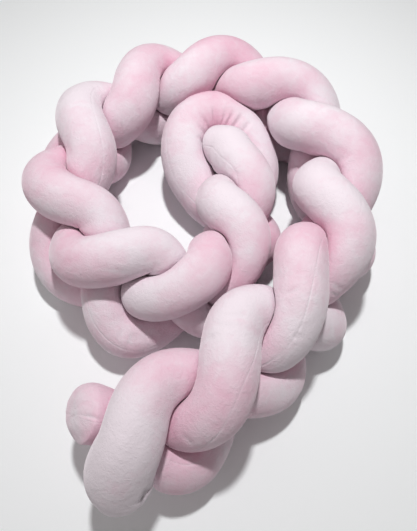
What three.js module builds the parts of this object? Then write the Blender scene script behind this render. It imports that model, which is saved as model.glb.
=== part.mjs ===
// A braided crib bumper: plump velvet tubes plaited as three strands, standing on edge in a loose coil.
// One long tube is folded in half, so that its fold is the loop in the middle of the coil and its two
// legs are two of the strands. A single tube, half as long, is the third strand.
// Millimetres, +Z up. It rests on z = 0, with the origin under the middle of the coil.
import * as THREE from 'three';
import { mergeVertices } from 'three/addons/utils/BufferGeometryUtils.js';

// Driving sizes
const TUBE_DIAMETER = 69; // of a filled tube where nothing presses it
const STRAND_RISE = 96; // from a strand's line at the bottom of the plait to its line at a crossing on top
const SIDE_SWING = 26; // how far a strand's line swings to each side, half way up
const LOW_SWING = 1.15; // the swing near the floor, as a share of the swing on top
const LOWEST_LINE = 30.5; // a strand's line above the floor where the tube rests on it
const CLOTH_GAP = 4.4; // between two tubes that press on each other
const STRANDS = 3;

// The velvet
const PALE_PINK = 0xe8ccd6;
const VELVET_ROUGHNESS = 0.9;

// How finely the tubes are cut into rings and sides
const SIDES = 16;
const RING_STEP = 22; // at most, along the outer side of a bend
const CAP_RINGS = 4; // from the tip of a closed end to the full tube
const STEPS_PER_CROSSING = 8;
const NEIGHBOUR_STEP = 5; // between the points of a line that neighbouring tubes are measured from

// How a tube gives way
const PRESS_SHARPNESS = 9; // a higher power makes a sharper edge round a pressed patch
const MOST_BULGE = 1.1; // the tube swells by up to this much where it is squeezed flat
const LEAST_BULGE = 0.9;
const BULGE_ROUNDS = 5;
const FLOOR_SINK = 6; // the underside would reach this far below the floor, and is pressed flat by it
const OWN_REACH = 125; // a tube presses on itself only where it comes back after this length
const BEND_SPAN = 2; // points to each side over which a bend is measured
const BEND_SHARE = 0.75; // how much of a bend's own radius the inner side of the bend may fill

// Where a strand passes over the plait's top edge, from the outer end to the inner one.
// x, y: place on the plan. drop: how much lower the crossing is than STRAND_RISE gives.
// lean, trail: degrees that the plait's foot is set outwards of its top, and ahead of it.
// fullness, swing: shares of TUBE_DIAMETER and SIDE_SWING there.
const CROSSINGS = [
  { x: -142, y: -338, drop: 0, lean: 14, trail: 10, fullness: 1.04, swing: 1 },
  { x: -64, y: -273, drop: 0, lean: 14, trail: 12, fullness: 0.96, swing: 1 },
  { x: 35, y: -196, drop: 0, lean: 14, trail: 10, fullness: 0.99, swing: 1 },
  { x: 124, y: -93, drop: 0, lean: 24, trail: -15, fullness: 0.95, swing: 0.7 },
  { x: 182, y: -4, drop: 0, lean: 7, trail: -19, fullness: 0.97, swing: 1.04 },
  { x: 186, y: 130, drop: 0, lean: 11, trail: -4, fullness: 1.05, swing: 1 },
  { x: 113, y: 236, drop: 0, lean: 14, trail: 0, fullness: 1.03, swing: 1 },
  { x: 7, y: 277, drop: 0, lean: 10, trail: 0, fullness: 1.03, swing: 1 },
  { x: -100, y: 238, drop: 0, lean: 12, trail: 0, fullness: 1.04, swing: 1 },
  { x: -172, y: 138, drop: 0, lean: 15, trail: 0, fullness: 1.03, swing: 1 },
  { x: -174, y: 11, drop: 0, lean: 15, trail: 4, fullness: 0.96, swing: 1 },
  { x: -88, y: -71, drop: 0, lean: 29, trail: 0, fullness: 0.94, swing: 1 },
  { x: 10, y: -84, drop: 10, lean: 17, trail: -18, fullness: 0.9, swing: 0.5 },
  { x: 46, y: -9, drop: 10, lean: 10, trail: 0, fullness: 0.95, swing: 0.9 },
  { x: 50, y: 97, drop: 20, lean: 5, trail: 0, fullness: 0.96, swing: 0.8 },
  { x: 70, y: 227, drop: 28, lean: 5, trail: 0, fullness: 0.95, swing: 0.7 },
];

// The lines of the tubes beyond the plait, from the tip inwards, or along the loop from strand to strand.
const FOLDED_TUBE_FRONT_END = [
  { x: -73, y: -325, z: 60, fullness: 1.04 },
  { x: -79, y: -322, z: 72, fullness: 1.05 },
  { x: -83, y: -315, z: 88, fullness: 1.05 },
  { x: -78, y: -303, z: 105, fullness: 1.03 },
  { x: -69, y: -286, z: 119, fullness: 0.98 },
];
const FOLDED_TUBE_SIDE_END = [
  { x: -138, y: -257, z: 110, fullness: 0.98 },
  { x: -124, y: -255, z: 97, fullness: 0.98 },
  { x: -103, y: -260, z: 84, fullness: 0.9 },
  { x: -73, y: -276, z: 70, fullness: 0.9 },
  { x: -46, y: -294, z: 57, fullness: 1 },
  { x: -27, y: -301, z: 49, fullness: 1 },
  { x: -9, y: -296, z: 42, fullness: 1 },
];
const SINGLE_TUBE_INNER_END = [
  { x: 42, y: 119, z: 103, fullness: 0.98 },
  { x: 29, y: 131, z: 95, fullness: 0.95 },
  { x: 20, y: 141, z: 80, fullness: 0.94 },
  { x: 16, y: 147, z: 62, fullness: 0.92 },
];
const LOOP = [
  { x: 80, y: 94, z: 52, fullness: 1 },
  { x: 88, y: 122, z: 54, fullness: 1.03 },
  { x: 80, y: 154, z: 64, fullness: 1.05 },
  { x: 61, y: 182, z: 78, fullness: 1.06 },
  { x: 35, y: 198, z: 90, fullness: 1.08 },
  { x: 7, y: 196, z: 95, fullness: 1.08 },
  { x: -16, y: 176, z: 93, fullness: 1.08 },
  { x: -23, y: 141, z: 84, fullness: 1.1 },
  { x: -17, y: 102, z: 69, fullness: 1.08 },
  { x: 3.5, y: 71, z: 54, fullness: 1 },
  { x: 30, y: 54, z: 41, fullness: 1 },
];

// Where each strand leaves its place in the plait, counted in crossings from the outer end.
const STRAND_SPANS = {
  single: { first: 2, from: 1.125, to: 14 },
  foldedOut: { first: 1, from: 1.125, to: 13.75 },
  foldedBack: { first: 0, from: 1.25, to: 13.5 },
};

// The length of a closed end, as a share of the tube's radius
const GATHERED_END = 0.6;
const TUCKED_END = 0.6;

const TUBE_RADIUS = TUBE_DIAMETER / 2;
const LAST_CROSSING = CROSSINGS.length - 1;
const TURN = 2 * Math.PI;

// The plait's own line on the plan, and each column of the table as a smooth value along it
const planLine = new THREE.SplineCurve(CROSSINGS.map((row) => new THREE.Vector2(row.x, row.y)));

function alongPlait(column) {
  const line = new THREE.SplineCurve(CROSSINGS.map((row, i) => new THREE.Vector2(i, row[column])));
  return (at) => line.getPoint(at / LAST_CROSSING).y;
}

const dropAt = alongPlait('drop');
const leanAt = alongPlait('lean');
const trailAt = alongPlait('trail');
const fullnessAt = alongPlait('fullness');
const swingAt = alongPlait('swing');

// One point of a strand's line. Each strand is on top at every third crossing, swings to one side as it
// comes up and to the other as it goes down, and passes under the other two in between.
function strandPoint(first, at) {
  const middle = planLine.getPoint(at / LAST_CROSSING);
  const ahead = planLine.getTangent(at / LAST_CROSSING);
  const left = new THREE.Vector2(-ahead.y, ahead.x);
  const phase = (TURN * (at - first)) / STRANDS;
  const depth = (1 - Math.cos(phase)) / 2;
  const rise = STRAND_RISE - dropAt(at);
  const fall = rise * depth;
  const swing = SIDE_SWING * swingAt(at) * THREE.MathUtils.lerp(1, LOW_SWING, depth);
  const side = swing * Math.sin(2 * phase) - fall * Math.tan(THREE.MathUtils.degToRad(leanAt(at)));
  const trail = fall * Math.tan(THREE.MathUtils.degToRad(trailAt(at)));
  const place = middle.addScaledVector(left, side).addScaledVector(ahead, trail);
  return { x: place.x, y: place.y, z: LOWEST_LINE + rise - fall, fullness: fullnessAt(at) };
}

function strand({ first, from, to }) {
  const steps = Math.round((to - from) * STEPS_PER_CROSSING);
  return Array.from({ length: steps + 1 }, (_, i) => strandPoint(first, from + i / STEPS_PER_CROSSING));
}

// A tube's line, with the lengths of its two closed ends
function tubeLine(route, startEnd, finishEnd) {
  const curve = new THREE.CatmullRomCurve3(
    route.map((point) => new THREE.Vector3(point.x, point.y, point.z)),
    false,
    'catmullrom',
  );
  curve.arcLengthDivisions = route.length * STEPS_PER_CROSSING;
  const length = curve.getLength();
  const steps = Math.round(length / NEIGHBOUR_STEP);
  const line = {
    route,
    curve,
    length,
    points: curve.getSpacedPoints(steps),
    spacing: length / steps,
    frames: curve.computeFrenetFrames(steps, false),
    startEnd: startEnd * TUBE_RADIUS,
    finishEnd: finishEnd * TUBE_RADIUS,
  };
  line.radii = line.points.map((_, i) => radiusAt(line, i * line.spacing));
  return line;
}

// How much of the full section there is at a distance along a line: less towards the tip of a closed end
function capShare(line, distance) {
  const fromStart = Math.min(distance / line.startEnd, 1);
  const fromFinish = Math.min((line.length - distance) / line.finishEnd, 1);
  return Math.sqrt((1 - (1 - fromStart) ** 2) * (1 - (1 - fromFinish) ** 2));
}

// The radius that a tube would have at a distance along its line if nothing pressed it
function radiusAt(line, distance) {
  const row = line.curve.getUtoTmapping(distance / line.length) * (line.route.length - 1);
  const near = line.route[Math.floor(row)];
  const far = line.route[Math.min(Math.floor(row) + 1, line.route.length - 1)];
  return TUBE_RADIUS * THREE.MathUtils.lerp(near.fullness, far.fullness, row % 1) * capShare(line, distance);
}

// Distances along the line at which a tube has its rings: close together round the closed ends,
// and a little closer in a bend, where the outer side is longer than the line
function ringPlaces(line) {
  const capSteps = Array.from({ length: CAP_RINGS }, (_, i) => 1 - Math.cos((i / CAP_RINGS) * (Math.PI / 2)));
  const start = capSteps.map((share) => share * line.startEnd);
  const finish = capSteps.map((share) => line.length - share * line.finishEnd).reverse();
  const middle = [line.startEnd];
  let outerLength = 0;
  for (let i = 1; i < line.points.length; i += 1) {
    const distance = i * line.spacing;
    const turned = line.frames.tangents[i].angleTo(line.frames.tangents[i - 1]);
    if (distance > line.startEnd) {
      outerLength += line.spacing + TUBE_RADIUS * turned;
    }
    if (outerLength > RING_STEP && distance < line.length - line.finishEnd) {
      middle.push(distance);
      outerLength = 0;
    }
  }
  return [...start, ...middle, ...finish];
}

// The places on other tubes, and on far parts of the same tube, that can press on a ring
function neighbours(lines, own, centre, distance) {
  const reach = 2 * MOST_BULGE * TUBE_DIAMETER;
  return lines.flatMap((line) => line.points.flatMap((point, i) => {
    const apart = line !== own || Math.abs(i * line.spacing - distance) > OWN_REACH;
    return apart && point.distanceTo(centre) < reach ? [{ point, radius: line.radii[i] }] : [];
  }));
}

// How far a section may reach in one direction: up to the flat patch where it meets each neighbour,
// down to the floor, and not past the middle of the tube's own bend
function roomInDirection({ centre, radius, around, bend }, direction) {
  let room = 2 * TUBE_DIAMETER;
  for (const other of around) {
    const offset = other.point.clone().sub(centre);
    const towards = offset.dot(direction);
    if (towards > 0) {
      const powers = offset.lengthSq() + radius ** 2 - other.radius ** 2;
      const patch = Math.max(powers - CLOTH_GAP * offset.length(), 0);
      room = Math.min(room, patch / (2 * towards));
    }
  }
  if (direction.z < 0) {
    room = Math.min(room, (centre.z + FLOOR_SINK) / -direction.z);
  }
  const inwards = bend.dot(direction);
  return inwards > 0 ? Math.min(room, BEND_SHARE / inwards) : room;
}

function press(radius, room) {
  return (radius ** -PRESS_SHARPNESS + room ** -PRESS_SHARPNESS) ** (-1 / PRESS_SHARPNESS);
}

function girth(radii) {
  const angle = TURN / radii.length;
  return radii.reduce((sum, radius, i) => {
    const next = radii[(i + 1) % radii.length];
    return sum + Math.sqrt(radius ** 2 + next ** 2 - 2 * radius * next * Math.cos(angle));
  }, 0);
}

// A pressed section keeps the tube's girth: where it is squeezed it bulges elsewhere
function pressedRadii(rooms, radius) {
  if (radius === 0) {
    return rooms.map(() => 0);
  }
  const wanted = girth(rooms.map(() => radius));
  let bulge = 1;
  for (let round = 0; round < BULGE_ROUNDS; round += 1) {
    const radii = rooms.map((room) => press(bulge * radius, room));
    bulge = THREE.MathUtils.clamp((bulge * wanted) / girth(radii), LEAST_BULGE, MOST_BULGE);
  }
  return rooms.map((room) => press(bulge * radius, room));
}

// The points of one ring of a tube, round its line
function ring(lines, line, distance) {
  const i = Math.round(distance / line.spacing);
  const centre = line.curve.getPointAt(distance / line.length);
  const radius = radiusAt(line, distance);
  const first = Math.max(i - BEND_SPAN, 0);
  const last = Math.min(i + BEND_SPAN, line.points.length - 1);
  const turned = line.frames.tangents[last].clone().sub(line.frames.tangents[first]);
  const bend = turned.divideScalar((last - first) * line.spacing);
  const around = neighbours(lines, line, centre, distance);
  const directions = Array.from({ length: SIDES }, (_, side) => {
    const angle = (side / SIDES) * TURN;
    return line.frames.normals[i].clone().multiplyScalar(Math.cos(angle))
      .addScaledVector(line.frames.binormals[i], -Math.sin(angle));
  });
  const section = { centre, radius, around, bend };
  const rooms = directions.map((direction) => roomInDirection(section, direction));
  return pressedRadii(rooms, radius).map((reach, side) => {
    const point = centre.clone().addScaledVector(directions[side], reach);
    point.z = Math.max(point.z, 0);
    return point;
  });
}

// A filled tube: a ball whose rows of points are moved to the tube's rings, one closed skin
function filledTube(lines, line) {
  const rings = ringPlaces(line).map((distance) => ring(lines, line, distance));
  const ball = new THREE.SphereGeometry(1, SIDES, rings.length - 1);
  const position = ball.getAttribute('position');
  for (let i = 0; i < position.count; i += 1) {
    const point = rings[Math.floor(i / (SIDES + 1))][(i % (SIDES + 1)) % SIDES];
    position.setXYZ(i, point.x, point.y, point.z);
  }
  ball.deleteAttribute('normal');
  ball.deleteAttribute('uv');
  const skin = mergeVertices(ball);
  skin.computeVertexNormals();
  return skin;
}

function velvetTube(name, skin) {
  const velvet = new THREE.MeshStandardMaterial({
    color: PALE_PINK,
    roughness: VELVET_ROUGHNESS,
    metalness: 0,
  });
  const tube = new THREE.Mesh(skin, velvet);
  tube.name = name;
  return tube;
}

const foldedLine = tubeLine(
  [
    ...FOLDED_TUBE_FRONT_END,
    ...strand(STRAND_SPANS.foldedOut),
    ...LOOP,
    ...strand(STRAND_SPANS.foldedBack).reverse(),
    ...FOLDED_TUBE_SIDE_END.toReversed(),
  ],
  GATHERED_END,
  GATHERED_END,
);
const singleLine = tubeLine(
  [
    ...strand(STRAND_SPANS.single),
    ...SINGLE_TUBE_INNER_END,
  ],
  GATHERED_END,
  TUCKED_END,
);
const lines = [foldedLine, singleLine];

const bumper = new THREE.Group();
bumper.add(velvetTube('folded_tube', filledTube(lines, foldedLine)));
bumper.add(velvetTube('single_tube', filledTube(lines, singleLine)));

export default bumper;
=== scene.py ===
import math

import bpy
import numpy as np
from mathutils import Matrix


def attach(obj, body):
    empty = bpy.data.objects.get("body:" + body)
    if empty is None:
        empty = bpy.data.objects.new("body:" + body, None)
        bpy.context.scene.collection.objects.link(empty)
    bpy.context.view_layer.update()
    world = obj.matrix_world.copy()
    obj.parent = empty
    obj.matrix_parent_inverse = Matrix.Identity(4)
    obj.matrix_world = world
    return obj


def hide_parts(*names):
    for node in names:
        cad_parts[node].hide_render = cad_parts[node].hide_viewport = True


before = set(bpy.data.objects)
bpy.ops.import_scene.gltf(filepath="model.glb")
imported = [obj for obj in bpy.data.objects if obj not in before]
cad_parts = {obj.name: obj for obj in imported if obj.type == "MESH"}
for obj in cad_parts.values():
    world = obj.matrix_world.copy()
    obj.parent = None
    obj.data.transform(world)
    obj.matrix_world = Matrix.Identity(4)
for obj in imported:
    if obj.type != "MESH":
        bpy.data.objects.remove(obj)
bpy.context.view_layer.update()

# The plait: three strands worked over and under each other by hand, standing on its edge in a loose coil.
# The strands' lines come from the same short tables as the part's solids, in millimetres, and each strand
# is on top of the plait at every third crossing.
MM = 0.001

# The radius of a tube, how far a strand's line rises and swings to the sides, the share of that swing at its
# foot, and the height of the line at its lowest
TUBE_RADIUS = 34.5
STRAND_RISE = 96
SIDE_SWING = 26
LOW_SWING = 1.15
LOWEST_LINE = 30.5
STRANDS = 3
STEPS_PER_CROSSING = 8
NEARBY = 0.01

# x and y on the plan, how much lower the crossing is, degrees that the foot is set outwards and ahead,
# and the shares of the tube's thickness and of the side swing
crossings = np.array([
    (-142, -338, 0, 14, 10, 1.04, 1),
    (-64, -273, 0, 14, 12, 0.96, 1),
    (35, -196, 0, 14, 10, 0.99, 1),
    (124, -93, 0, 24, -15, 0.95, 0.7),
    (182, -4, 0, 7, -19, 0.97, 1.04),
    (186, 130, 0, 11, -4, 1.05, 1),
    (113, 236, 0, 14, 0, 1.03, 1),
    (7, 277, 0, 10, 0, 1.03, 1),
    (-100, 238, 0, 12, 0, 1.04, 1),
    (-172, 138, 0, 15, 0, 1.03, 1),
    (-174, 11, 0, 15, 4, 0.96, 1),
    (-88, -71, 0, 29, 0, 0.94, 1),
    (10, -84, 10, 17, -18, 0.9, 0.5),
    (46, -9, 10, 10, 0, 0.95, 0.9),
    (50, 97, 20, 5, 0, 0.96, 0.8),
    (70, 227, 28, 5, 0, 0.95, 0.7),
], float)


def through(rows, at):
    """Places on a smooth line through the rows, counted in rows."""
    rows = np.asarray(rows, float)
    rows = np.vstack([2 * rows[0] - rows[1], rows, 2 * rows[-1] - rows[-2]])
    first = np.clip(np.floor(at).astype(int), 0, len(rows) - 4)
    part = (at - first)[:, None]
    before, here, there, after = (rows[first + i] for i in range(4))
    leave, arrive = (there - before) / 2, (after - here) / 2
    cubic = 2 * (here - there) + leave + arrive
    square = 3 * (there - here) - 2 * leave - arrive
    return ((cubic * part + square) * part + leave) * part + here


def strand(first, start, finish):
    """Rows of x, y, z and fullness along one strand of the plait, between two crossings."""
    at = np.arange(start, finish + NEARBY, 1 / STEPS_PER_CROSSING)
    x, y, drop, lean, trail, fullness, swing = through(crossings, at).T
    ahead = through(crossings[:, :2], at + NEARBY) - through(crossings[:, :2], at - NEARBY)
    ahead /= np.linalg.norm(ahead, axis=1)[:, None]
    phase = math.tau * (at - first) / STRANDS
    depth = (1 - np.cos(phase)) / 2
    rise = STRAND_RISE - drop
    fall = rise * depth
    reach = SIDE_SWING * swing * (1 + (LOW_SWING - 1) * depth)
    side = reach * np.sin(2 * phase) - fall * np.tan(np.radians(lean))
    trail = fall * np.tan(np.radians(trail))
    x = x - ahead[:, 1] * side + ahead[:, 0] * trail
    y = y + ahead[:, 0] * side + ahead[:, 1] * trail
    return np.column_stack([x, y, LOWEST_LINE + rise - fall, fullness])


# The folded tube leaves the plait at both ends and makes the loop between its two legs: x, y, z, fullness
front_end = [
    (-73, -325, 60, 1.04),
    (-79, -322, 72, 1.05),
    (-83, -315, 88, 1.05),
    (-78, -303, 105, 1.03),
    (-69, -286, 119, 0.98),
]
side_end = [
    (-138, -257, 110, 0.98),
    (-124, -255, 97, 0.98),
    (-103, -260, 84, 0.9),
    (-73, -276, 70, 0.9),
    (-46, -294, 57, 1),
    (-27, -301, 49, 1),
    (-9, -296, 42, 1),
]
loop = [
    (80, 94, 52, 1),
    (88, 122, 54, 1.03),
    (80, 154, 64, 1.05),
    (61, 182, 78, 1.06),
    (35, 198, 90, 1.08),
    (7, 196, 95, 1.08),
    (-16, 176, 93, 1.08),
    (-23, 141, 84, 1.1),
    (-17, 102, 69, 1.08),
    (3.5, 71, 54, 1),
    (30, 54, 41, 1),
]
inner_end = [
    (42, 119, 103, 0.98),
    (29, 131, 95, 0.95),
    (20, 141, 80, 0.94),
    (16, 147, 62, 0.92),
]
RING_STEP = 6
END_LENGTH = 0.6 * TUBE_RADIUS
END_RINGS = 6
FINE_STEPS = 12
DIRECTION_REACH = 1


class TubeLine:
    """The line of one tube: places a ring apart, with the tube's direction, two sides and radius at each."""

    def __init__(self, route):
        fine = np.linspace(0, len(route) - 1, FINE_STEPS * len(route))
        places = through(route, fine)[:, :3]
        lengths = np.concatenate([[0], np.cumsum(np.linalg.norm(np.diff(places, axis=0), axis=1))])
        self.length = lengths[-1]
        end = END_LENGTH * (1 - np.cos(np.linspace(0, math.pi / 2, END_RINGS, endpoint=False)))
        rings = round((self.length - 2 * END_LENGTH) / RING_STEP)
        middle = np.linspace(END_LENGTH, self.length - END_LENGTH, rings + 1)
        self.distances = np.concatenate([end, middle, self.length - end[::-1]])
        rows = through(route, np.interp(self.distances, lengths, fine))
        self.places = rows[:, :3]
        ahead = through(route, np.interp(self.distances + DIRECTION_REACH, lengths, fine))
        behind = through(route, np.interp(self.distances - DIRECTION_REACH, lengths, fine))
        self.ahead = (ahead - behind)[:, :3]
        self.ahead /= np.linalg.norm(self.ahead, axis=1)[:, None]
        from_tip = np.clip(np.minimum(self.distances, self.length - self.distances) / END_LENGTH, 0, 1)
        self.radii = TUBE_RADIUS * rows[:, 3] * np.sqrt(1 - (1 - from_tip) ** 2)
        side = np.cross(self.ahead[0], (0, 0, 1))
        sides = []
        for direction in self.ahead:
            side = side - direction * np.dot(side, direction)
            side /= np.linalg.norm(side)
            sides.append(side)
        self.sides = np.array(sides)
        self.others = np.cross(self.ahead, self.sides)


folded_line = TubeLine(np.vstack([
    front_end,
    strand(first=1, start=1.125, finish=13.75),
    loop,
    strand(first=0, start=1.25, finish=13.5)[::-1],
    side_end[::-1],
]))
single_line = TubeLine(np.vstack([
    strand(first=2, start=1.125, finish=14),
    inner_end,
]))

# The folded tube: one long velvet tube, sewn down its length, filled with fibre and gathered shut at both
# ends, then folded in half. Where it is pressed by the floor or by another strand it is flat there and
# swells beside it, and the cloth puckers along the seam, on the inner side of a bend and at the ends.

# The space between two tubes, how sharply a pressed side turns into a free one, and the shares that a ring
# may shrink to or swell to, to keep its girth
CLOTH_GAP = 0.6
PRESS_SHARPNESS = 22
LEAST_BULGE, MOST_BULGE = 0.9, 1.06

# How far a tube would reach below the floor before it is laid flat on it, the length of a tube that is no
# neighbour of its own middle, and the share of a bend's radius that its inner side may fill
FLOOR_SINK = 6
OWN_REACH = 125
BEND_SHARE = 0.75
BEND_RINGS = 2
FAR = 4 * TUBE_RADIUS
LEAST_ROOM = 0.01
TINY = 0.001
PRESSING_ROUNDS = 6
SEAM_SMOOTHING = 7

# Degrees from the seam at which a ring has its points, closer together beside the seam
half_ring = [2.5, 6, 12, 20, 31, 44, 58, 72, 87, 103, 119, 135, 150, 165]
columns = np.radians([0, *half_ring, 180, *(-angle for angle in half_ring[::-1])]) % math.tau
column_steps = np.diff(np.append(columns, math.tau))
SIDES = len(columns)


def seam_turns(line, seam):
    """The angle of the seam at each ring, smoothed from rows of distance along the tube and degrees."""
    distance, degrees = np.array(seam, float).T
    turns = np.radians(np.interp(line.distances, distance, degrees))
    padded = np.pad(turns, SEAM_SMOOTHING // 2, mode="edge")
    return np.convolve(padded, np.ones(SEAM_SMOOTHING) / SEAM_SMOOTHING, mode="valid")


def rooms(line, turns):
    """How far each point of each ring may reach: to its neighbours, the floor and the tube's own bend."""
    every_place = np.vstack([folded_line.places, single_line.places])
    every_radius = np.concatenate([folded_line.radii, single_line.radii])
    own = np.concatenate([np.full(len(each.places), each is line) for each in (folded_line, single_line)])
    distance = np.concatenate([folded_line.distances, single_line.distances])
    angles = turns[:, None] + columns
    directions = (np.cos(angles)[..., None] * line.sides[:, None]
                  + np.sin(angles)[..., None] * line.others[:, None])
    room = np.full(angles.shape, FAR)
    bends = np.zeros(angles.shape)
    for i, centre in enumerate(line.places):
        offset = every_place - centre
        apart = np.linalg.norm(offset, axis=1)
        near = (apart < FAR) & ~(own & (np.abs(distance - line.distances[i]) < OWN_REACH))
        offset, apart, radius = offset[near], apart[near], every_radius[near]
        towards = directions[i] @ offset.T
        patch = np.maximum(apart ** 2 + line.radii[i] ** 2 - radius ** 2 - CLOTH_GAP * apart, 0)
        limits = np.where(towards > TINY, patch / np.maximum(2 * towards, TINY), FAR)
        if limits.size:
            room[i] = np.minimum(room[i], limits.min(axis=1))
        down = -directions[i][:, 2]
        floor = np.where(down > TINY, (centre[2] + FLOOR_SINK) / np.maximum(down, TINY), FAR)
        room[i] = np.minimum(room[i], floor)
        low, high = max(i - BEND_RINGS, 0), min(i + BEND_RINGS, len(line.places) - 1)
        bend = (line.ahead[high] - line.ahead[low]) / (line.distances[high] - line.distances[low])
        bends[i] = directions[i] @ bend
    inner = np.where(bends > TINY, BEND_SHARE / np.maximum(bends, TINY), FAR)
    return directions, np.maximum(np.minimum(room, inner), LEAST_ROOM)


def girth(radii):
    """The length round each ring."""
    following = np.roll(radii, -1, axis=1)
    chords = radii ** 2 + following ** 2 - 2 * radii * following * np.cos(column_steps)
    return np.sqrt(np.maximum(chords, 0)).sum(axis=1)


def pressed(line, room):
    """How far each point of each ring reaches: flat where it has no room, swollen elsewhere by as much."""
    free = np.maximum(line.radii, LEAST_ROOM)[:, None]
    wanted = girth(np.repeat(free, SIDES, axis=1))
    bulge = np.ones(len(free))
    for _ in range(PRESSING_ROUNDS):
        swollen = bulge[:, None] * free
        reach = (swollen ** -PRESS_SHARPNESS + room ** -PRESS_SHARPNESS) ** (-1 / PRESS_SHARPNESS)
        bulge = np.clip(bulge * wanted / girth(reach), LEAST_BULGE, MOST_BULGE)
    return reach


OPEN_ROOM = 24
FADE_RINGS = 11


def painted_recess_shade(free):
    """How much a place is shut in by its neighbours, fading over some 3 cm along the tube: the mask for
    painted shade, pinker and darker, in the hollows between strands.
    """
    shut = np.clip(1 - free / OPEN_ROOM, 0, 1)
    fade = np.hanning(FADE_RINGS + 2)[1:-1]
    padded = np.pad(shut, ((FADE_RINGS // 2, FADE_RINGS // 2), (0, 0)), mode="edge")
    return sum(weight * padded[i:i + len(shut)] for i, weight in enumerate(fade / fade.sum()))


def cloth_value(tube, name):
    """One of the values that are kept on the cloth, for every point."""
    values = np.empty(len(tube.data.vertices))
    tube.data.attributes[name].data.foreach_get("value", values)
    return values


def points_of(mesh):
    """The places of a mesh's points, and the directions that the surface faces there."""
    places, facing = np.empty((2, len(mesh.vertices) * 3))
    mesh.vertices.foreach_get("co", places)
    mesh.vertex_normals.foreach_get("vector", facing)
    return places.reshape(-1, 3), facing.reshape(-1, 3)


FILLING_PRESSURE = 4
FILLING_FRAMES = 20
FILLING_CAP = 5
SLACK = 1


def fill(tube):
    """The cloth starts slightly small, and the filling presses it out as far as its neighbours let it."""
    mesh = tube.data
    sewn, facing = points_of(mesh)
    mesh.vertices.foreach_set("co", (sewn - SLACK * MM * facing).ravel())
    cloth = tube.modifiers.new("filling", "CLOTH")
    cloth.settings.quality = 5
    cloth.settings.mass = 0.3
    cloth.settings.tension_stiffness = 12
    cloth.settings.compression_stiffness = 8
    cloth.settings.shear_stiffness = 4
    cloth.settings.bending_stiffness = 0.5
    cloth.settings.use_pressure = True
    cloth.settings.uniform_pressure_force = FILLING_PRESSURE
    cloth.settings.effector_weights.gravity = 0
    cloth.point_cache.frame_start = 1
    cloth.point_cache.frame_end = FILLING_FRAMES
    for frame_number in range(1, FILLING_FRAMES + 1):
        bpy.context.scene.frame_set(frame_number)
    blown = tube.evaluated_get(bpy.context.evaluated_depsgraph_get())
    filled = np.empty(len(mesh.vertices) * 3)
    blown.data.vertices.foreach_get("co", filled)
    tube.modifiers.remove(cloth)
    bpy.context.scene.frame_set(1)

    # Each ring stays in its place in the plait and keeps its girth, where a neighbour presses it it stays
    # pressed, and no point moves far
    moved = filled.reshape(-1, 3) - sewn
    ring_of = np.unique(cloth_value(tube, "along").round(2), return_inverse=True)[1]
    in_ring = np.bincount(ring_of)
    moved -= np.column_stack([np.bincount(ring_of, axis) / in_ring for axis in moved.T])[ring_of]
    outwards = (moved * facing).sum(axis=1)
    moved -= facing * (np.bincount(ring_of, outwards) / in_ring)[ring_of][:, None]
    size = np.linalg.norm(moved, axis=1)
    free = np.clip(cloth_value(tube, "spare") / FILLING_CAP, 0, 1)
    filled = sewn + moved * (free * np.minimum(1, FILLING_CAP * MM / np.maximum(size, 1e-9)))[:, None]
    filled[:, 2] = np.maximum(filled[:, 2], 0)
    mesh.vertices.foreach_set("co", filled.ravel())
    mesh.update()


MOST_SPARE = 20
SAME_PLACE = 0.03


def filled_tube(name, line, seam, pile_and_painted_shade):
    """A grid whose rows are moved to the rings of the tube, sewn up along its first column and filled."""
    turns = seam_turns(line, seam)
    directions, room = rooms(line, turns)
    reach = pressed(line, room)
    rings = line.places[:, None] + reach[..., None] * directions
    rings[..., 2] = np.maximum(rings[..., 2], 0)
    bpy.ops.object.select_all(action="DESELECT")
    bpy.ops.mesh.primitive_grid_add(x_subdivisions=SIDES, y_subdivisions=len(rings) - 1, size=1)
    tube = bpy.context.object
    tube.name = name
    tube.data.name = name
    cloth_values = {
        "along": np.repeat(line.distances[:, None], SIDES, axis=1),
        "seam_side": np.repeat(np.cos(columns)[None], len(rings), axis=0),
        "seam_left": np.repeat(np.sin(columns)[None], len(rings), axis=0),
        "spare": np.clip(room - reach, 0, MOST_SPARE),
        # Painted shade: a mask that makes the cloth pinker and darker where neighbouring strands shut it in
        "painted_recess_shade": painted_recess_shade(room - reach),
        # Paler or pinker along the tube: partly the way the pile lies, partly painted shade and light
        "pile_and_painted_shade": np.repeat(np.interp(line.distances, *np.transpose(pile_and_painted_shade))[:, None], SIDES, axis=1),
    }
    for value_name, values in cloth_values.items():
        attribute = tube.data.attributes.new(value_name, "FLOAT", "POINT")
        closed = np.concatenate([values, values[:, :1]], axis=1)
        attribute.data.foreach_set("value", closed.ravel())
    closed = np.concatenate([rings, rings[:, :1]], axis=1)
    tube.data.vertices.foreach_set("co", (closed * MM).ravel())
    bpy.ops.object.mode_set(mode="EDIT")
    bpy.ops.mesh.select_all(action="SELECT")
    bpy.ops.mesh.remove_doubles(threshold=SAME_PLACE * MM)
    bpy.ops.mesh.normals_make_consistent(inside=False)
    bpy.ops.object.mode_set(mode="OBJECT")
    fill(tube)
    tube.modifiers.new("finer", "SUBSURF").levels = 1
    bpy.ops.object.modifier_apply(modifier="finer")
    bpy.ops.object.shade_smooth()
    return tube


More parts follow.
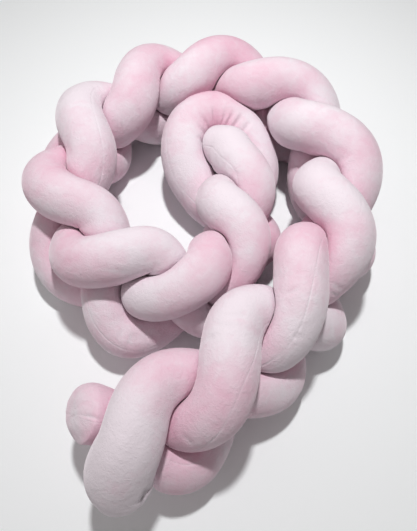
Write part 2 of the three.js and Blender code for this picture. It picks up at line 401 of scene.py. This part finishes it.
SEAM_WIDTH, SEAM_DEPTH = 0.8, 0.45
LEAST_DRAWN, DRAWN_WAVE = 0.3, 110
WELT_OFFSET, WELT_WIDTH, WELT_HEIGHT = 2.2, 1.2, 0.12
STITCH_LENGTH, STITCH_OFFSET, STITCH_WIDTH, STITCH_DEPTH = 6, 1.8, 1.3, 0.15
PUCKER_WAVE, PUCKER_WIDTH, PUCKER_DEPTH = 31, 6, 0.4
DEEP_CREASE = 2
PLEATS, PLEAT_PLACE, PLEAT_REACH, PLEAT_DEPTH = 10, 4, 9, 0.4
DIMPLE_REACH, DIMPLE_DEPTH = 1.2, 1.5
DENT_SPACING = 28
DENT_LENGTHS, DENT_WIDTHS, DENT_DEPTHS = (6, 16), (5, 14), (-0.5, 1.3)
SWELLING_ROOM = 4


def uneven_waves(along, seed, wavelength):
    """A value from 0 to 1 that comes and goes unevenly along the tube."""
    chance = np.random.default_rng(seed)
    total = np.zeros(len(along))
    for share in (1, 0.61, 0.37):
        total += np.sin(math.tau * (along / (wavelength * share) + chance.random()))
    return np.clip(0.5 + total / 3, 0, 1)


def sew(tube, line, creases, seed):
    """Sinks the seam, gathers the ends, creases the cloth and dents the filling, all along the surface."""
    mesh = tube.data
    along = cloth_value(tube, "along")
    angle = np.arctan2(cloth_value(tube, "seam_left"), cloth_value(tube, "seam_side"))
    spare = cloth_value(tube, "spare")
    from_seam = np.abs(angle) * TUBE_RADIUS
    from_tip = np.minimum(along, line.length - along)

    # The seam: a groove between two low welts, drawn in at each stitch
    body = np.clip(from_tip / END_LENGTH, 0, 1)
    push = WELT_HEIGHT * np.exp(-((from_seam - WELT_OFFSET) / WELT_WIDTH) ** 2)
    drawn = LEAST_DRAWN + (1 - LEAST_DRAWN) * uneven_waves(along, seed + 1, DRAWN_WAVE)
    push -= SEAM_DEPTH * drawn * np.exp(-(from_seam / SEAM_WIDTH) ** 2)
    stitch = 0.5 + 0.5 * np.cos(math.tau * along / STITCH_LENGTH)
    push -= STITCH_DEPTH * stitch * np.exp(-((from_seam - STITCH_OFFSET) / STITCH_WIDTH) ** 2)
    pucker = uneven_waves(along, seed, PUCKER_WAVE) ** 3
    push -= PUCKER_DEPTH * pucker * np.exp(-(from_seam / PUCKER_WIDTH) ** 2)
    push *= body
    # Paler along the seam: partly the pile opened there, partly a painted highlight along the seam line
    parted_pile_and_highlight = body * drawn * np.exp(-(from_seam / SEAM_WIDTH) ** 2)

    # Creases, each a narrow fold with a low ridge on either side: a shallow one parts the pile and is
    # painted paler along it, a painted highlight
    for place, degrees, half_length, width, slant, depth in creases:
        ahead = along - place
        across = ((angle - math.radians(degrees) + math.pi) % math.tau - math.pi) * TUBE_RADIUS
        turn = math.radians(slant)
        lengthwise = math.cos(turn) * ahead + math.sin(turn) * across
        sideways = (math.cos(turn) * across - math.sin(turn) * ahead) / width
        fold = (1 - sideways ** 2) * np.exp(-sideways ** 2 - (lengthwise / half_length) ** 4)
        push -= depth * fold
        if depth < DEEP_CREASE:
            parted_pile_and_highlight += np.maximum(fold, 0)
    mesh.attributes.new("parted_pile_and_highlight", "FLOAT", "POINT").data.foreach_set("value", parted_pile_and_highlight)

    # The ends: pleats drawn together by a thread, with a dimple in the middle
    gather = np.exp(-((from_tip - PLEAT_PLACE) / PLEAT_REACH) ** 2)
    pleat = 0.5 + 0.5 * np.cos(PLEATS * angle + 2 * np.sin(3 * angle + seed))
    push -= PLEAT_DEPTH * gather * pleat
    push -= DIMPLE_DEPTH * np.exp(-(from_tip / DIMPLE_REACH) ** 2)

    # Dents where the filling is uneven
    chance = np.random.default_rng(seed + 2)
    for _ in range(int(line.length / DENT_SPACING)):
        place, turn = chance.uniform(0, line.length), chance.uniform(-math.pi, math.pi)
        long, wide = chance.uniform(*DENT_LENGTHS), chance.uniform(*DENT_WIDTHS)
        depth = chance.uniform(*DENT_DEPTHS)
        close = np.abs(along - place) < 3 * long
        offset = (angle[close] - turn + math.pi) % math.tau - math.pi
        distance = ((along[close] - place) / long) ** 2 + (offset * TUBE_RADIUS / wide) ** 2
        push[close] -= depth * np.exp(-distance)

    push = np.where(push > 0, push * np.clip(spare / SWELLING_ROOM, 0, 1), push)
    places, facing = points_of(mesh)
    places += MM * push[:, None] * facing
    places[:, 2] = np.maximum(places[:, 2], 0)
    mesh.vertices.foreach_set("co", places.ravel())
    mesh.update()


# Where the seam runs: distance from the front end along the tube, and degrees round it
folded_seam = [
    (0, -90), (60, -60), (200, -20), (500, 0), (1100, 0), (1660, -60), (1765, -90), (1785, -95),
    (1795, -105), (1820, -110), (1845, -105), (1930, -105), (2100, -15), (2330, -20), (2480, -30),
    (2515, -30), (2535, -45), (2750, 0), (3030, -20), (3240, -70), (3255, -85), (3285, -75), (3330, -70),
    (3570, -120), (3820, -180), (4085, -175), (4240, -140), (4275, -120), (4295, -115), (4325, -100),
    (4380, -100), (4565, -120), (4730, -135),
]
# The pile table: distance along the tube, and above 0 where it looks paler, below 0 where pinker. It is
# partly the way the pile lies and partly painted shade and light, pinker or paler where a place is lit less
# or more.
folded_pile_and_shade = [
    (0, 1.5), (60, 1.4), (110, 0.5), (165, -1.1), (190, -1.1), (250, -0.3), (340, -0.2), (430, -0.8),
    (500, -0.6), (550, 0.1), (625, 1), (820, 0), (1010, -1.9), (1045, -2), (1100, -1.6), (1140, 0.5),
    (1180, 0.2), (1570, -1.7), (1612, -0.3), (1700, 0.1), (1770, -0.2), (1850, 0), (2000, -0.2),
    (2050, -0.3), (2100, 0.6), (2160, 0.6), (2230, 0.4), (2310, 0.7), (2340, -0.4), (2377, -1.4),
    (2460, 0.4), (2480, 0.8), (2690, -1.2), (2795, -0.9), (2835, 0.7), (2870, 0.6), (3200, -0.5),
    (3245, -0.5), (3290, 0.3), (3320, 0.7), (3480, 0), (3700, -1), (3745, -1), (3793, -0.4), (3863, 0.3),
    (3950, 0), (4240, -0.9), (4272, -0.9), (4340, -0.2), (4385, 0.6), (4440, 0.6), (4570, -0.3),
    (4640, -0.4), (4700, -1.2), (4738, -0.7), (4752, -0.2),
]
# Creases: distance along the tube, degrees round from the seam, half length, width, slant to the tube and
# depth. The first eight are drawn up round the inside of the loop.
folded_creases = [
    (2314, -80, 12, 4, 72, 2.5), (2331, -88, 12, 4, 78, 3.5), (2345, -93, 11, 4, 84, 3.5),
    (2358, -96, 10, 4, 88, 3), (2384, -93, 12, 4, -74, 3.5), (2411, -94, 11, 4, -70, 3.5),
    (2434, -92, 9, 4, -70, 3), (2452, -93, 8, 4, -75, 2.5), (36, -29, 13, 3, -10, 4),
    (40, -20, 9, 3, -25, 2.5), (470, -140, 9, 3, 80, 1.3), (478, -149, 10, 3, 90, 1.7),
    (1805, -30, 7, 3, 83, 1.2), (1816, -25, 7, 3, 80, 1.2), (2018, -18, 6, 3, 62, 0.9),
    (2060, -102, 5, 3, -74, 0.9), (2075, -112, 6, 3, 88, 0.9), (3297, -13, 9, 3, -73, 1),
    (3301, -37, 8, 3, 90, 1), (4329, 33, 7, 3, 58, 1.6), (4357, -7, 6, 3, 80, 1.5),
    (4365, -6, 7, 3, 67, 1.5), (4738, 8, 11, 3, 10, 1.2),
]
folded_tube = filled_tube("folded_tube_velvet", folded_line, folded_seam, folded_pile_and_shade)
sew(folded_tube, folded_line, folded_creases, seed=3)


def pink_velvet(name):
    """Short-pile velvet: paler or pinker along each tube, partly with the lie of the pile and partly as
    painted shade and light, pinker and darker as painted shade where it is shut in, and paler along seams
    and shallow creases, partly where the pile opens and partly as painted highlight.
    """
    velvet = bpy.data.materials.new(name)
    velvet.use_nodes = True
    nodes, links = velvet.node_tree.nodes, velvet.node_tree.links
    shader = nodes["Principled BSDF"]
    shader.inputs["Roughness"].default_value = 0.88
    shader.inputs["Specular IOR Level"].default_value = 0.2
    shader.inputs["Sheen Weight"].default_value = 0.45
    shader.inputs["Sheen Roughness"].default_value = 0.45
    shader.inputs["Sheen Tint"].default_value = (1.0, 0.94, 0.97, 1)
    place = nodes.new("ShaderNodeTexCoord")

    def noise(scale, detail, distortion):
        texture = nodes.new("ShaderNodeTexNoise")
        texture.inputs["Scale"].default_value = scale
        texture.inputs["Detail"].default_value = detail
        texture.inputs["Distortion"].default_value = distortion
        links.new(place.outputs["Object"], texture.inputs["Vector"])
        return texture.outputs["Fac"]

    def on_cloth(value_name):
        attribute = nodes.new("ShaderNodeAttribute")
        attribute.attribute_name = value_name
        return attribute.outputs["Fac"]

    def add(total, value, share):
        sum_of_both = nodes.new("ShaderNodeMath")
        sum_of_both.operation = "MULTIPLY_ADD"
        sum_of_both.inputs[1].default_value = share
        links.new(value, sum_of_both.inputs[0])
        links.new(total, sum_of_both.inputs[2])
        return sum_of_both.outputs["Value"]

    nap = noise(scale=75, detail=5, distortion=0.6)
    crushed = noise(scale=240, detail=3, distortion=1.2)
    paleness = noise(scale=17, detail=3, distortion=0)
    paleness = add(paleness, nap, 0.35)
    paleness = add(paleness, crushed, 0.2)
    # paler or pinker along the tube: partly the way the pile lies, partly painted shade and light
    paleness = add(paleness, on_cloth("pile_and_painted_shade"), 0.2)
    # painted shade, pinker and darker where neighbouring strands shut a place in
    paleness = add(paleness, on_cloth("painted_recess_shade"), -0.17)
    # paler along seams and shallow creases: partly the pile opened there, partly painted highlight
    paleness = add(paleness, on_cloth("parted_pile_and_highlight"), 0.17)
    shades = nodes.new("ShaderNodeValToRGB")
    shades.color_ramp.elements[0].position = 0.2
    shades.color_ramp.elements[0].color = (0.76, 0.42, 0.54, 1)
    shades.color_ramp.elements[1].position = 0.9
    shades.color_ramp.elements[1].color = (0.80, 0.715, 0.77, 1)
    links.new(paleness, shades.inputs["Fac"])
    links.new(shades.outputs["Color"], shader.inputs["Base Color"])
    pile = add(noise(scale=900, detail=2, distortion=0), nap, 3.2)
    pile = add(pile, crushed, 2.0)
    bump = nodes.new("ShaderNodeBump")
    bump.inputs["Strength"].default_value = 0.42
    bump.inputs["Distance"].default_value = 0.0008
    links.new(pile, bump.inputs["Height"])
    links.new(bump.outputs["Normal"], shader.inputs["Normal"])
    return velvet


folded_tube.data.materials.append(pink_velvet("folded_velvet_pink"))
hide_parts("folded_tube")
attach(folded_tube, "root")

# The single tube: a tube of the same velvet, half as long, sewn and filled in the same way. It is the third
# strand, and its inner end is tucked into the loop.
single_seam = [
    (0, 0), (65, -10), (80, -25), (95, -25), (115, -15), (140, 10), (150, 15), (200, 20), (400, 60),
    (550, 95), (1115, 110), (1695, 110), (1930, 200), (2080, 260), (2100, 270), (2125, 250), (2200, 250),
]
# The single tube's pile table, in the same columns: partly the way the pile lies, partly painted shade and
# light
single_pile_and_shade = [
    (0, -1), (68, -1.3), (140, 0), (182, 0.5), (220, 0.5), (300, 0.8), (468, -0.8), (563, -0.7),
    (637, -0.5), (696, 0.5), (915, 0), (1055, -1.1), (1138, -0.9), (1218, -0.5), (1600, -0.9), (1640, -0.5),
    (1667, -0.2), (1719, 0.6), (1934, 0), (2062, 0), (2119, 1.1), (2198, 0.8),
]
single_creases = [
    (53, -28, 7, 3, 77, 1.6), (143, -98, 9, 3, 76, 1.9), (153, -72, 9, 3, 92, 1.5),
    (163, -66, 13, 3, 82, 1.9), (303, -30, 10, 3, 80, 1), (608, -130, 9, 3, -4, 0.9),
    (671, -168, 7, 3, -21, 0.9), (1666, -95, 15, 3, 34, 1), (1668, -165, 17, 3, 28, 1),
]
single_tube = filled_tube("single_tube_velvet", single_line, single_seam, single_pile_and_shade)
sew(single_tube, single_line, single_creases, seed=8)
single_tube.data.materials.append(pink_velvet("single_velvet_pink"))
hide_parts("single_tube")
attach(single_tube, "root")

# The floor: a plain pale surface that the plait stands on, painted matt, and large enough to fill the
# picture. It is not part of the object.
bpy.ops.object.select_all(action="DESELECT")
bpy.ops.mesh.primitive_plane_add(size=8, location=(0, 0, 0))
floor = bpy.context.object
floor.name = "floor"
floor_paint = bpy.data.materials.new("floor_paint")
floor_paint.use_nodes = True
floor_shader = floor_paint.node_tree.nodes["Principled BSDF"]
floor_shader.inputs["Base Color"].default_value = (0.94, 0.96, 0.97, 1)
floor_shader.inputs["Roughness"].default_value = 0.9
floor.data.materials.append(floor_paint)

# The light: one small soft lamp above the far side of the coil, and pale light from all round, which is
# stronger from the left.
LIGHT_FROM_LEFT, LIGHT_FROM_RIGHT = 0.42, 0.11
bpy.ops.object.light_add(type="AREA", location=(0.03, 0.2, 1.25))
lamp = bpy.context.object
lamp.name = "lamp"
lamp.data.shape = "DISK"
lamp.data.size = 0.09
lamp.data.energy = 12.2
world = bpy.data.worlds.new("room")
world.use_nodes = True
room_light = world.node_tree.nodes["Background"]
room_light.inputs["Color"].default_value = (1.0, 0.97, 0.95, 1)
from_where = world.node_tree.nodes.new("ShaderNodeTexCoord")
from_side = world.node_tree.nodes.new("ShaderNodeSeparateXYZ")
strength = world.node_tree.nodes.new("ShaderNodeMapRange")
strength.inputs["From Min"].default_value = -1
strength.inputs["From Max"].default_value = 1
strength.inputs["To Min"].default_value = LIGHT_FROM_LEFT
strength.inputs["To Max"].default_value = LIGHT_FROM_RIGHT
world.node_tree.links.new(from_where.outputs["Generated"], from_side.inputs["Vector"])
world.node_tree.links.new(from_side.outputs["X"], strength.inputs["Value"])
world.node_tree.links.new(strength.outputs["Result"], room_light.inputs["Strength"])
bpy.context.scene.world = world
bpy.context.scene.view_settings.view_transform = "Standard"

# The camera: some 0.6 m above the floor, over the near end of the coil, tilted forward by 27 degrees from
# looking straight down.
bpy.ops.object.camera_add(location=(0.0113, -0.3209, 0.586), rotation=(math.radians(27), 0, 0))
camera = bpy.context.object
camera.name = "camera"
camera.data.sensor_width = 36
camera.data.lens = 28.47
bpy.context.scene.camera = camera
